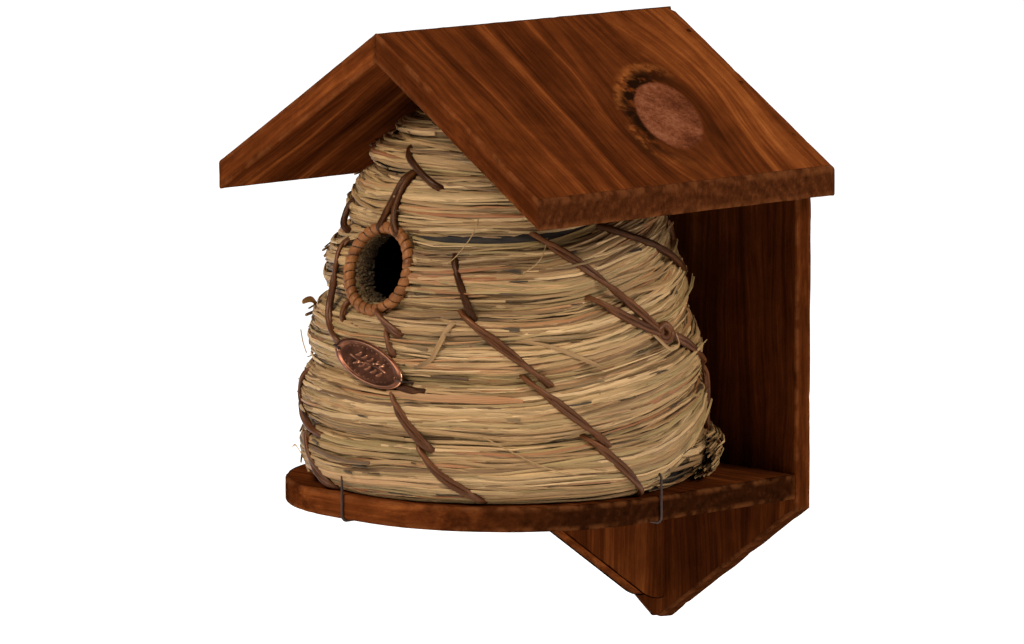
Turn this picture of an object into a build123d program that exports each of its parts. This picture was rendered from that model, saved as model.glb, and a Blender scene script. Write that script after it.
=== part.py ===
"""Hanging nest house: a coiled straw dome on a gabled wooden wall shelter.

Sizes are in millimetres. The origin is the centre of the hanging keyhole in
the wall plane. +Z is up, the wall is towards +Y and the entrance faces -Y.
"""

import os
from itertools import accumulate
from math import atan, atan2, cos, hypot, radians, sin, tan

from build123d import *

# Wooden shelter. Heights are taken from the tip of the back board.
overall_height = 300.0
hang_height = 236.0
roof_width = 222.0
roof_depth = 195.0
roof_pitch = 32.0
roof_thickness = 12.0
back_width = 192.0
back_thickness = 10.0
shoulder_height = 64.5
tip_width = 6.0
floor_height = 82.0
floor_thickness = 12.0
floor_depth = 206.5
nose_right = 96.0
nose_left = 72.0
fin_thickness = 12.0
fin_reach = 92.0
fin_heel_height = 12.5
fin_heel_length = 8.5
fin_heel_round = 24.0
edge_round = 1.0

# Straw dome: each row's height, how far its bulge stands in from the widest
# radius, and how far the groove above it does. The rows run upwards.
dome_radius = 97.5
dome_base_inset = 6.5
dome_gap_back = 4.5
dome_gap_roof = 2.0
straw_wall = 20.0
straw_rows = [
    (28.7, 0.0, 2.5),
    (28.8, 0.5, 3.0),
    (32.8, 6.0, 11.0),
    (32.9, 13.5, 20.5),
    (27.1, 24.5, 31.5),
    (15.7, 35.5, 43.5),
    (10.0, 48.5, 57.5),
]
coil_start_angle = 137.0
coil_start_gap = 3.0

# Vine stitches over each row, with the angle of one stitch's upper end.
stitch_radius = 1.5
stitch_proud = 1.0
stitch_bite = 4.5
stitch_sweep = 24.0
stitch_count = 7
stitch_angles = [69.0, 53.0, 36.0, 18.0, -1.0, -3.0]

# Entrance ring, in the row with this index, and the vine ties that hold it.
entrance_row = 3
entrance_diameter = 32.0
ring_core_radius = 1.8
ring_binding = 1.6
ring_recess = 3.4
ring_split_angle = 4.0
tie_radius = 1.1
tie_bend = 3.5
ring_ties_at = [(93.0, 17.0), (-48.0, 7.0), (-118.0, 7.0)]

# Oval tag, wired flat against the rows above and below one groove.
tag_length = 46.0
tag_height = 18.4
tag_thickness = 0.8
tag_rim_width = 1.6
tag_rim_height = 0.5
tag_turn = 4.5
tag_roll = 16.0
tag_rise = 64.0
tag_hole_radius = 1.0
tag_hole_inset = 3.4
tag_wire_radius = 0.45
tag_wire_depth = 8.0
tag_wire_bend = 1.2
tag_gap = 0.6

# Wire loops that tie the bottom row down to the floor.
floor_wire_radius = 0.6
floor_wire_bite = 7.0
floor_wire_rise = 11.0
floor_wire_bend = 3.0
front_wire_x = -10.0
side_wire_y = -101.5

# Hanger plate, let in flush at the back, and its two countersunk screws.
keyhole_radius = 4.5
keyhole_slot_radius = 2.2
keyhole_rise = 9.0
plate_thickness = 1.5
plate_width = 16.0
plate_margin = 12.0
screw_inset = 5.0
pocket_radius = 6.0
pocket_depth = 4.5
screw_radius = 1.4
screw_head_radius = 2.7
screw_length = 8.0

# Brads: small flush heads, driven square to the face.
brad_radius = 0.8
brad_head_radius = 1.3
brad_head_height = 0.7
brad_length = 26.0
roof_brads_down_slope = [20.0, 62.0, 104.0]
floor_brad_places = [-72.0, -28.0, 28.0, 72.0]
fin_brad_heights = [30.0, 54.0]

fit_gap = 0.02
lie_gap = 0.15

tip_z = -hang_height
ridge_z = tip_z + overall_height
shoulder_z = tip_z + shoulder_height
floor_z = tip_z + floor_height
floor_bottom = floor_z - floor_thickness
roof_fall = tan(radians(roof_pitch))
roof_drop = roof_thickness / cos(radians(roof_pitch))
up = Vector(0, 0, 1)


def save(part, name):
    """Label one finished piece and write it to its own file."""
    part.label = name
    export_step(part, f"parts/{name}.step")


def roof_underside(x):
    """Height of the roof boards' lower faces at a distance x from the middle."""
    return ridge_z - roof_drop - abs(x) * roof_fall


# The rows keep their heights, evenly scaled to end just under the sloping roof.
dome_axis_y = -(back_thickness + dome_gap_back + dome_radius)
bulges = [dome_radius - inset for _, inset, _ in straw_rows]
grooves = [dome_radius - dome_base_inset] + [dome_radius - inset for _, _, inset in straw_rows]
rises = list(accumulate((height for height, _, _ in straw_rows), initial=0.0))
row_middles = [(low + high) / 2 for low, high in zip(rises, rises[1:])]
outline = list(zip(rises[1:], grooves[1:])) + list(zip(row_middles, bulges))
dome_scale = min((roof_underside(r) - dome_gap_roof - floor_z) / rise for rise, r in outline)
levels = [floor_z + rise * dome_scale for rise in rises]
middles = [floor_z + rise * dome_scale for rise in row_middles]
dome_axis = Axis((0, dome_axis_y, 0), (0, 0, 1))
crown = len(straw_rows) - 1


def around(angle, radius, z):
    """A point at an angle from the front of the dome, turning towards +X."""
    turn = radians(angle)
    return Vector(radius * sin(turn), dome_axis_y - radius * cos(turn), z)


def radial_plane(angle):
    """The upright plane through the dome's axis: local x outwards, local y up."""
    outwards = around(angle, 1, 0) - around(angle, 0, 0)
    return Plane(origin=around(angle, 0, 0), x_dir=outwards, z_dir=outwards.cross(up))


# The entrance plane leans back with the row that it is in.
entrance_z = middles[entrance_row]
lean = atan(
    (grooves[entrance_row] - grooves[entrance_row + 1])
    / (levels[entrance_row + 1] - levels[entrance_row])
)
binding_radius = ring_core_radius + ring_binding
ring_radius = entrance_diameter / 2 + binding_radius
ring_seat_radius = ring_radius + binding_radius + lie_gap
ring_centre = Vector(0, dome_axis_y - bulges[entrance_row] + ring_recess, entrance_z)
entrance_plane = Plane(
    origin=ring_centre, x_dir=(1, 0, 0), z_dir=(0, -cos(lean), sin(lean))
)

# The tag lies on the bulges of the two rows that meet nearest to its middle.
tag_z = floor_z + tag_rise * dome_scale
tag_lean = atan2(bulges[1] - bulges[2], middles[2] - middles[1])
tag_bulge = [bulges[i] * cos(tag_lean) + middles[i] * sin(tag_lean) for i in (1, 2)]
tag_reach = (max(tag_bulge) + tag_gap - tag_z * sin(tag_lean)) / cos(tag_lean)
tag_out = radial_plane(tag_turn)
tag_normal = tag_out.x_dir * cos(tag_lean) + up * sin(tag_lean)
tag_across = up.cross(tag_out.x_dir)
tag_up = tag_normal.cross(tag_across)
tag_plane = Plane(
    origin=around(tag_turn, tag_reach, tag_z),
    x_dir=tag_across * cos(radians(tag_roll)) - tag_up * sin(radians(tag_roll)),
    z_dir=tag_normal,
)


def loop_of_wire(plane, near, far, low, high, radius, bend):
    """A closed rounded loop of round wire in a plane, between local x and y limits."""
    with BuildPart() as loop:
        with BuildLine(plane):
            corners = [(near, low), (far, low), (far, high), (near, high)]
            path = FilletPolyline(*corners, radius=bend, close=True)
        with BuildSketch(Plane(origin=path @ 0, z_dir=path % 0)):
            Circle(radius)
        sweep()
    return loop.part


def stitches(row, slack=0.0):
    """One row's vine stitches, left out where the ring or the tag is in the way."""
    high = levels[row + 1]
    low = max(levels[row], floor_z + 2 * stitch_radius)
    with BuildPart() as vines:
        for turn in range(stitch_count):
            angle = stitch_angles[row] + turn * 360 / stitch_count
            top = around(angle, grooves[row + 1] - stitch_bite, high)
            crest = around(angle + stitch_sweep / 2, bulges[row] + stitch_proud, middles[row])
            foot = around(angle + stitch_sweep, grooves[row] - stitch_bite, low)
            keep_off = ring_seat_radius + 3 * stitch_radius
            if any(
                p.Y < dome_axis_y and hypot(p.X, p.Z - entrance_z) < keep_off
                for p in (top, crest, foot)
            ):
                continue
            if (crest - tag_plane.origin).length < tag_length / 2 + 3 * stitch_radius:
                continue
            with BuildLine():
                path = ThreePointArc(top, crest, foot)
            with BuildSketch(Plane(origin=path @ 0, z_dir=path % 0)):
                Circle(stitch_radius + slack)
            sweep()
    return vines.part


def ring_ties(slack=0.0):
    """Closed vine loops round the entrance ring and through the straw beside it."""
    normal = entrance_plane.z_dir
    half_depth = binding_radius + tie_radius + lie_gap
    with BuildPart() as ties:
        for angle, reach in ring_ties_at:
            turn = radians(angle)
            outwards = entrance_plane.x_dir * cos(turn) + entrance_plane.y_dir * sin(turn)
            plane = Plane(origin=ring_centre, x_dir=outwards, z_dir=outwards.cross(normal))
            near = ring_radius - half_depth
            far = ring_radius + half_depth + reach
            add(
                loop_of_wire(
                    plane, near, far, -half_depth, half_depth, tie_radius + slack, tie_bend
                )
            )
    return ties.part


def floor_wires(slack=0.0):
    """Wire loops round the floor's front and side edges and up into the bottom row."""
    front = Plane(origin=(front_wire_x, 0, 0), x_dir=(0, -1, 0), z_dir=(-1, 0, 0))
    right = Plane(origin=(0, side_wire_y, 0), x_dir=(1, 0, 0), z_dir=(0, -1, 0))
    left = Plane(origin=(0, side_wire_y, 0), x_dir=(-1, 0, 0), z_dir=(0, 1, 0))
    clear = floor_wire_radius + lie_gap
    middle_and_edge = [
        (front, -dome_axis_y, floor_depth),
        (right, 0, back_width / 2),
        (left, 0, back_width / 2),
    ]
    with BuildPart() as wires:
        for plane, start, edge in middle_and_edge:
            add(
                loop_of_wire(
                    plane,
                    start + grooves[0] - floor_wire_bite,
                    edge + clear,
                    floor_bottom - clear,
                    floor_z + floor_wire_rise,
                    floor_wire_radius + slack,
                    floor_wire_bend,
                )
            )
    return wires.part


def tag_wires(slack=0.0):
    """Two wire loops, each through one of the tag's holes and round its end."""
    hole = tag_length / 2 - tag_hole_inset
    end = tag_length / 2 + tag_wire_radius + lie_gap
    front = tag_thickness + tag_rim_height + tag_wire_radius + lie_gap
    with BuildPart() as wires:
        for side in (-1, 1):
            outwards = tag_plane.x_dir * side
            plane = Plane(
                origin=tag_plane.origin, x_dir=outwards, z_dir=outwards.cross(tag_normal)
            )
            add(
                loop_of_wire(
                    plane,
                    hole,
                    end,
                    -tag_wire_depth,
                    front,
                    tag_wire_radius + slack,
                    tag_wire_bend,
                )
            )
    return wires.part


def brad(slack=0.0, mode=Mode.ADD):
    """A brad with its head flush at the local origin, driven down local -Z."""
    top = (Align.CENTER, Align.CENTER, Align.MAX)
    Cylinder(brad_head_radius + slack, brad_head_height + slack, align=top, mode=mode)
    Cylinder(brad_radius + slack, brad_length + slack, align=top, mode=mode)


def roof_brad_places(side):
    """Brad heads on one roof slope, over the middle of the back board's edge."""
    pitch = radians(roof_pitch)
    slope = Vector(side * cos(pitch), 0, -sin(pitch))
    square = Vector(side * sin(pitch), 0, cos(pitch))
    start = Vector(0, -back_thickness / 2, ridge_z)
    heads = [start + slope * distance for distance in roof_brads_down_slope]
    return [Plane(origin=head, x_dir=slope, z_dir=square) for head in heads]


floor_middle = floor_z - floor_thickness / 2
floor_brads_at = [
    Plane(origin=(x, 0, floor_middle), x_dir=(-1, 0, 0), z_dir=(0, 1, 0))
    for x in floor_brad_places
]
fin_brads_at = [
    Plane(origin=(0, 0, tip_z + z), x_dir=(-1, 0, 0), z_dir=(0, 1, 0))
    for z in fin_brad_heights
]
screw_heights = [screw_inset - plate_margin, keyhole_rise + plate_margin - screw_inset]
plate_middle = keyhole_rise / 2
plate_spacing = keyhole_rise + 2 * plate_margin - plate_width

os.makedirs("parts", exist_ok=True)

with BuildPart() as back_board:
    with BuildSketch(Plane.XZ):
        with BuildLine():
            Polyline(
                (-tip_width / 2, tip_z),
                (tip_width / 2, tip_z),
                (back_width / 2, shoulder_z),
                (back_width / 2, roof_underside(back_width / 2)),
                (0, roof_underside(0)),
                (-back_width / 2, roof_underside(back_width / 2)),
                (-back_width / 2, shoulder_z),
                close=True,
            )
        make_face()
    extrude(amount=back_thickness)
    fillet(back_board.edges(), edge_round)
    with BuildSketch(Plane.XZ):
        with Locations((0, plate_middle)):
            SlotCenterToCenter(plate_spacing, plate_width + 2 * fit_gap, rotation=90)
    extrude(amount=plate_thickness, mode=Mode.SUBTRACT)
    with BuildSketch(Plane.XZ.offset(plate_thickness)):
        with Locations((0, keyhole_rise / 2)):
            SlotCenterToCenter(keyhole_rise, 2 * pocket_radius, rotation=90)
    extrude(amount=pocket_depth, mode=Mode.SUBTRACT)
    with BuildSketch(Plane.XZ.offset(plate_thickness)):
        with Locations(*[(0, z) for z in screw_heights]):
            Circle(screw_radius + fit_gap)
    extrude(amount=screw_length - plate_thickness + fit_gap, mode=Mode.SUBTRACT)
    with Locations(*roof_brad_places(1), *roof_brad_places(-1)):
        brad(fit_gap, Mode.SUBTRACT)
    with Locations(*floor_brads_at, *fin_brads_at):
        brad(fit_gap, Mode.SUBTRACT)
save(back_board.part, "back_board")

for side, hand in ((1, "right"), (-1, "left")):
    with BuildPart() as roof_panel:
        with BuildSketch(Plane.XZ):
            with BuildLine():
                Polyline(
                    (0, ridge_z),
                    (side * roof_width / 2, ridge_z - roof_width / 2 * roof_fall),
                    (side * roof_width / 2, roof_underside(roof_width / 2)),
                    (0, roof_underside(0)),
                    close=True,
                )
            make_face()
        extrude(amount=roof_depth)
        outer_edges = roof_panel.edges().filter_by(lambda edge: abs(edge.center().X) > edge_round)
        fillet(outer_edges, edge_round)
        with Locations(*roof_brad_places(side)):
            brad(fit_gap, Mode.SUBTRACT)
    save(roof_panel.part, f"roof_panel_{hand}")

with BuildPart() as floor_board:
    with BuildSketch(Plane.XY.offset(floor_z)):
        with Locations((0, -(back_thickness + floor_depth) / 2)):
            Rectangle(back_width, floor_depth - back_thickness)
        left_corner = vertices().group_by(Axis.Y)[0].sort_by(Axis.X)[0]
        fillet(left_corner, min(nose_left, back_width / 2 - edge_round))
        right_corner = vertices().group_by(Axis.X)[-1].sort_by(Axis.Y)[0]
        fillet(right_corner, min(nose_right, back_width / 2))
    extrude(amount=-floor_thickness)
    fillet(floor_board.edges().group_by(Axis.Z)[0], edge_round / 2)
    add(floor_wires(lie_gap), mode=Mode.SUBTRACT)
    with Locations(*floor_brads_at):
        brad(fit_gap, Mode.SUBTRACT)
save(floor_board.part, "floor_board")

with BuildPart() as support_fin:
    with BuildSketch(Plane.YZ.offset(-fin_thickness / 2)):
        with BuildLine():
            Polyline(
                (-back_thickness, floor_bottom),
                (-back_thickness, tip_z + fin_heel_height),
                (-back_thickness - fin_heel_length, tip_z + fin_heel_height),
                (-back_thickness - fin_reach, floor_bottom),
                close=True,
            )
        make_face()
        heel = vertices().group_by(Axis.Y)[0].sort_by(Axis.X)[0]
        fillet(heel, fin_heel_round)
    extrude(amount=fin_thickness)
    with Locations(*fin_brads_at):
        brad(fit_gap, Mode.SUBTRACT)
save(support_fin.part, "support_fin")

vine_rows = [stitches(row) for row in range(crown)]
vine_channels = [stitches(row, fit_gap) for row in range(crown)]
channels = {row: [] for row in range(crown + 1)}
for row in range(crown):
    for near in (row - 1, row, row + 1):
        if near >= 0:
            channels[near].append(vine_channels[row])
channels[0].append(floor_wires(lie_gap))
for row in (1, 2):
    channels[row].append(tag_wires(fit_gap))
for row in (entrance_row - 1, entrance_row, entrance_row + 1):
    channels[row].append(ring_ties(fit_gap))

for row in range(crown + 1):
    low, high = levels[row], levels[row + 1]
    plane = radial_plane(coil_start_angle)
    with BuildPart() as straw_row:
        with BuildSketch(plane):
            with BuildLine():
                Line((grooves[row] - straw_wall, low), (grooves[row], low))
                ThreePointArc(
                    (grooves[row], low), (bulges[row], middles[row]), (grooves[row + 1], high)
                )
                if row < crown:
                    Line((grooves[row + 1], high), (grooves[row + 1] - straw_wall, high))
                    Line((grooves[row + 1] - straw_wall, high), (grooves[row] - straw_wall, low))
                else:
                    Line((grooves[row + 1], high), (0, high))
                    Line((0, high), (0, low))
                    Line((0, low), (grooves[row] - straw_wall, low))
            make_face()
        revolve(axis=dome_axis, revolution_arc=360 - coil_start_gap if row == 0 else 360)
        if abs(row - entrance_row) <= 1:
            with BuildSketch(Plane.XZ.offset(-dome_axis_y)):
                with Locations((0, entrance_z)):
                    Circle(entrance_diameter / 2)
            extrude(amount=dome_radius, mode=Mode.SUBTRACT)
            with BuildSketch(entrance_plane.offset(-binding_radius - lie_gap)):
                Circle(ring_seat_radius)
            extrude(amount=2 * ring_seat_radius, mode=Mode.SUBTRACT)
        for channel in channels[row]:
            add(channel, mode=Mode.SUBTRACT)
    save(straw_row.part, "straw_crown" if row == crown else f"straw_row_{row + 1}")

for row, vines in enumerate(vine_rows):
    save(vines, f"vine_lacing_{row + 1}")

with BuildPart() as entrance_ring_core:
    with BuildSketch(Plane(origin=ring_centre, x_dir=(1, 0, 0), z_dir=-entrance_plane.y_dir)):
        with Locations((ring_radius, 0)):
            Circle(ring_core_radius)
    revolve(axis=Axis(ring_centre, entrance_plane.z_dir))
save(entrance_ring_core.part, "entrance_ring_core")

with BuildPart() as entrance_ring_binding:
    with BuildSketch(Plane(origin=ring_centre, x_dir=(1, 0, 0), z_dir=-entrance_plane.y_dir)):
        with Locations((ring_radius, 0)):
            Circle(binding_radius)
            Circle(ring_core_radius + fit_gap, mode=Mode.SUBTRACT)
    revolve(
        axis=Axis(ring_centre, entrance_plane.z_dir), revolution_arc=360 - ring_split_angle
    )
save(entrance_ring_binding.part, "entrance_ring_binding")

save(ring_ties(), "ring_ties")

with BuildPart() as oval_tag:
    with BuildSketch(tag_plane):
        Ellipse(tag_length / 2, tag_height / 2)
        with Locations(*[(side * (tag_length / 2 - tag_hole_inset), 0) for side in (-1, 1)]):
            Circle(tag_hole_radius, mode=Mode.SUBTRACT)
    extrude(amount=tag_thickness)
    with BuildSketch(tag_plane.offset(tag_thickness)):
        Ellipse(tag_length / 2, tag_height / 2)
        Ellipse(
            tag_length / 2 - tag_rim_width, tag_height / 2 - tag_rim_width, mode=Mode.SUBTRACT
        )
    extrude(amount=tag_rim_height)
save(oval_tag.part, "oval_tag")

save(tag_wires(), "tag_wires")
save(floor_wires(), "floor_tie_wires")

with BuildPart() as hanger_plate:
    with BuildSketch(Plane.XZ):
        with Locations((0, plate_middle)):
            SlotCenterToCenter(plate_spacing, plate_width, rotation=90)
        Circle(keyhole_radius, mode=Mode.SUBTRACT)
        with Locations((0, keyhole_rise / 2)):
            SlotCenterToCenter(
                keyhole_rise, 2 * keyhole_slot_radius, rotation=90, mode=Mode.SUBTRACT
            )
    extrude(amount=plate_thickness)
    with Locations(*[Plane(origin=(0, 0, z), z_dir=(0, 1, 0)) for z in screw_heights]):
        CounterSinkHole(screw_radius + fit_gap, screw_head_radius + fit_gap)
save(hanger_plate.part, "hanger_plate")

with BuildPart() as hanger_screws:
    with Locations(*[Plane(origin=(0, 0, z), z_dir=(0, 1, 0)) for z in screw_heights]):
        Cylinder(
            screw_radius, screw_length, align=(Align.CENTER, Align.CENTER, Align.MAX)
        )
        Cone(
            screw_radius, screw_head_radius, screw_head_radius - screw_radius,
            align=(Align.CENTER, Align.CENTER, Align.MAX),
        )
save(hanger_screws.part, "hanger_screws")

with BuildPart() as roof_brads:
    with Locations(*roof_brad_places(1), *roof_brad_places(-1)):
        brad()
save(roof_brads.part, "roof_brads")

with BuildPart() as floor_brads:
    with Locations(*floor_brads_at):
        brad()
save(floor_brads.part, "floor_brads")

with BuildPart() as fin_brads:
    with Locations(*fin_brads_at):
        brad()
save(fin_brads.part, "fin_brads")
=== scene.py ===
"""Looks of the hanging nest house, built piece by piece around its CAD frame."""

import math
from math import cos, pi, radians, sin, tan

import bmesh
import bpy
from mathutils import Matrix, Vector, noise


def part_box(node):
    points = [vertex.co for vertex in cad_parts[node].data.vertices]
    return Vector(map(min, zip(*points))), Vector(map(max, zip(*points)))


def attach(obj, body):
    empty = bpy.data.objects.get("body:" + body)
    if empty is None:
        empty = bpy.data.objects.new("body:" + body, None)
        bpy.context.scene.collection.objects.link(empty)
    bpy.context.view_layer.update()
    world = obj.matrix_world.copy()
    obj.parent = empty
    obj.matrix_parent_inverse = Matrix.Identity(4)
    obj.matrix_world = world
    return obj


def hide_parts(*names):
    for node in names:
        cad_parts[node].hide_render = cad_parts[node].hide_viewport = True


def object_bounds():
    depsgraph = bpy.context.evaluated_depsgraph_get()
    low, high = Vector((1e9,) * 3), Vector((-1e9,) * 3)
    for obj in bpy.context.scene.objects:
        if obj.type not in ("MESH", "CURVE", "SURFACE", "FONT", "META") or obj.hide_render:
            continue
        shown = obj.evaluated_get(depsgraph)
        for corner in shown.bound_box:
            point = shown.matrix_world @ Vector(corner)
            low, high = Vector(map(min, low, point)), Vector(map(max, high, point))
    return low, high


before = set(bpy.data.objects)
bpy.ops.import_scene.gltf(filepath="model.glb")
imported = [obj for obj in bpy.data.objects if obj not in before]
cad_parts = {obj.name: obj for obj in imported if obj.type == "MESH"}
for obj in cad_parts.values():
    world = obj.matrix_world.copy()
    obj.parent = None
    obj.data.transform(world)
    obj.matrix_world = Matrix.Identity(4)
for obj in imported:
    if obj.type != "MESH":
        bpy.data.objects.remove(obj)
cad_low, cad_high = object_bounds()
scene = bpy.context.scene

# Camera: it stands to the right of the entrance and a little above it, far away
# behind a long lens, so that the boards' edges run almost parallel.
view_turn, view_rise = radians(46.565), radians(8.053)
view_distance, lens_length = 3.4613, 254.2
aim_shift = Vector((-0.0052, 0.0032, 0.0043))
aim = (cad_low + cad_high) / 2 + aim_shift
back_off = Vector(
    (sin(view_turn) * cos(view_rise), -cos(view_turn) * cos(view_rise), sin(view_rise))
)
camera = bpy.data.objects.new("camera", bpy.data.cameras.new("camera"))
camera.data.sensor_width = 36.0
camera.data.lens = lens_length
camera.data.clip_end = 20.0
camera.location = aim + back_off * view_distance
camera.rotation_euler = (-back_off).to_track_quat("-Z", "Y").to_euler()
scene.collection.objects.link(camera)
scene.camera = camera


# Studio: a soft key light in front of the entrance and above it, a side light off
# the house's right, a dim white surround that the camera sees as plain white, and
# a pale floor well under the hanging house, which glows as painted light: faintly
# under the house and brightly further out.
def soft_light(name, turn, rise, distance, size, power):
    """An area light aimed at the house from a turn and rise in degrees."""
    away = Vector(
        (
            sin(radians(turn)) * cos(radians(rise)),
            -cos(radians(turn)) * cos(radians(rise)),
            sin(radians(rise)),
        )
    )
    lamp = bpy.data.lights.new(name, "AREA")
    lamp.shape, lamp.size, lamp.energy = "DISK", size, power
    light = bpy.data.objects.new(name, lamp)
    light.location = aim + away * distance
    light.rotation_euler = (-away).to_track_quat("-Z", "Y").to_euler()
    scene.collection.objects.link(light)


soft_light("key_light", 2, 44, 1.6, 0.6, 21)
soft_light("side_light", 103, 32, 2.0, 0.7, 23)
scene.view_settings.view_transform = "Standard"
world = bpy.data.worlds.new("studio")
world.use_nodes = True
surround = world.node_tree
dim = surround.nodes["Background"]
dim.inputs["Color"].default_value = (1, 1, 1, 1)
dim.inputs["Strength"].default_value = 0.17
seen = surround.nodes.new("ShaderNodeBackground")
seen.inputs["Strength"].default_value = 1.0
either = surround.nodes.new("ShaderNodeMixShader")
path_kind = surround.nodes.new("ShaderNodeLightPath")
surround.links.new(path_kind.outputs["Is Camera Ray"], either.inputs[0])
surround.links.new(dim.outputs[0], either.inputs[1])
surround.links.new(seen.outputs[0], either.inputs[2])
surround.links.new(either.outputs[0], surround.nodes["World Output"].inputs["Surface"])
scene.world = world


class Wire:
    """A socket in a node tree. Arithmetic on it adds Math nodes to that tree."""

    def __init__(self, tree, socket):
        self.tree, self.socket = tree, socket

    def math(self, operation, *others):
        node = self.tree.nodes.new("ShaderNodeMath")
        node.operation = operation
        for slot, value in zip(node.inputs, (self, *others)):
            plug(slot, value)
        return Wire(self.tree, node.outputs[0])

    def __add__(self, other):
        return self.math("ADD", other)

    def __sub__(self, other):
        return self.math("SUBTRACT", other)

    def __mul__(self, other):
        return self.math("MULTIPLY", other)

    def __truediv__(self, other):
        return self.math("DIVIDE", other)

    def __rsub__(self, other):
        return (self * -1.0) + other

    __radd__ = __add__
    __rmul__ = __mul__

    def step(self, low, high):
        """0 below low, 1 above high, and smooth between them."""
        node = self.tree.nodes.new("ShaderNodeMapRange")
        node.interpolation_type = "SMOOTHSTEP"
        for slot, value in zip(node.inputs, (self, low, high, 0.0, 1.0)):
            plug(slot, value)
        return Wire(self.tree, node.outputs[0])

    def mix(self, low, high):
        """low where this is 0, high where this is 1."""
        return (high - low) * self + low if isinstance(high, Wire) else low + self * (high - low)


def plug(slot, value):
    """Links a wire into an input, or sets the input's own value."""
    if isinstance(value, Wire):
        value.tree.links.new(value.socket, slot)
    else:
        slot.default_value = value


def node(tree, kind, inputs=None, **settings):
    """Adds a node with its settings, and fills its inputs by name or number."""
    made = tree.nodes.new(kind)
    for name, value in settings.items():
        setattr(made, name, value)
    for key, value in (inputs or {}).items():
        plug(made.inputs[key], value)
    return made


def out(made, key=0):
    """One of a node's outputs, as a wire."""
    return Wire(made.id_data, made.outputs[key])


def material(name, **shader):
    """A material and its Principled shader, with plain values for the sockets given."""
    made = bpy.data.materials.new(name)
    made.use_nodes = True
    principled = made.node_tree.nodes["Principled BSDF"]
    for socket, value in shader.items():
        principled.inputs[socket.replace("_", " ")].default_value = value
    return made, made.node_tree, principled


def axes(tree, value):
    """A vector's three parts, as wires."""
    made = node(tree, "ShaderNodeSeparateXYZ", {0: value})
    return [out(made, i) for i in range(3)]


def own_place(tree):
    """A material's place on its piece, in metres."""
    return out(node(tree, "ShaderNodeTexCoord"), "Object")


def link_piece(name, mesh):
    """An object of a mesh, in the scene."""
    piece = bpy.data.objects.new(name, mesh)
    scene.collection.objects.link(piece)
    return piece


floor_drop, floor_half = 0.16, 6
floor_corners = [(-1, -1), (1, -1), (1, 1), (-1, 1)]
floor_mesh = bpy.data.meshes.new("floor")
floor_mesh.from_pydata(
    [(x * floor_half, y * floor_half, cad_low.z - floor_drop) for x, y in floor_corners],
    [],
    [(0, 1, 2, 3)],
)
floor = link_piece("floor", floor_mesh)
floor_paper, floor_tree, floor_shader = material(
    "glowing_floor", Base_Color=(0.93, 0.93, 0.93, 1), Roughness=0.9, Emission_Color=(1, 1, 1, 1)
)
floor_x, floor_y, _ = axes(floor_tree, own_place(floor_tree))
floor_away = (floor_x * floor_x + floor_y * floor_y).math("SQRT")
# Painted light: the floor glows, faintly under the house and strongly from 0.85 m out.
plug(floor_shader.inputs["Emission Strength"], floor_away.step(0.35, 0.85) * 0.85 + 0.1)
floor_mesh.materials.append(floor_paper)


# Stained softwood for the boards. Each board's mesh carries its own timber
# coordinates: along the grain, across it, and through the thickness, in metres
# from the heart of the log that it was sawn from.
def ramp(tree, factor, stops):
    """A colour ramp: stops are (place, (r, g, b)) pairs in linear colour."""
    made = node(tree, "ShaderNodeValToRGB", {"Fac": factor})
    elements = made.color_ramp.elements
    while len(elements) < len(stops):
        elements.new(0.5)
    for element, (place, colour) in zip(elements, stops):
        element.position, element.color = place, (*colour, 1.0)
    return out(made)


def blend_colours(tree, factor, low, high, kind="MIX"):
    """Mixes two colours by a factor; each may be a wire or a plain colour."""
    made = node(tree, "ShaderNodeMix", {"Factor": factor}, data_type="RGBA", blend_type=kind)
    for slot, value in ((made.inputs[6], low), (made.inputs[7], high)):
        plug(slot, value if isinstance(value, Wire) else (*value, 1.0))
    return out(made, 2)


def grain_noise(tree, place, scale, detail=3.0, roughness=0.55, stretch=(1, 1, 1)):
    """Noise at a place, stretched by a scale on each axis."""
    spread = node(tree, "ShaderNodeVectorMath", {0: place, 1: stretch}, operation="MULTIPLY")
    made = node(
        tree,
        "ShaderNodeTexNoise",
        {"Vector": out(spread), "Scale": scale, "Detail": detail, "Roughness": roughness},
    )
    return out(made)


def bump(tree, principled, height, distance, strength=1.0):
    """Gives a shader's normal a bump from a height in 0 to 1."""
    made = node(
        tree, "ShaderNodeBump", {"Height": height, "Distance": distance, "Strength": strength}
    )
    plug(principled.inputs["Normal"], out(made))


def attribute(tree, name, output="Fac"):
    """A stored attribute, read by a material."""
    return out(node(tree, "ShaderNodeAttribute", attribute_name=name), output)


def vector(tree, x, y, z):
    """Three wires or numbers, joined into a vector."""
    return out(node(tree, "ShaderNodeCombineXYZ", {0: x, 1: y, 2: z}))


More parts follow.
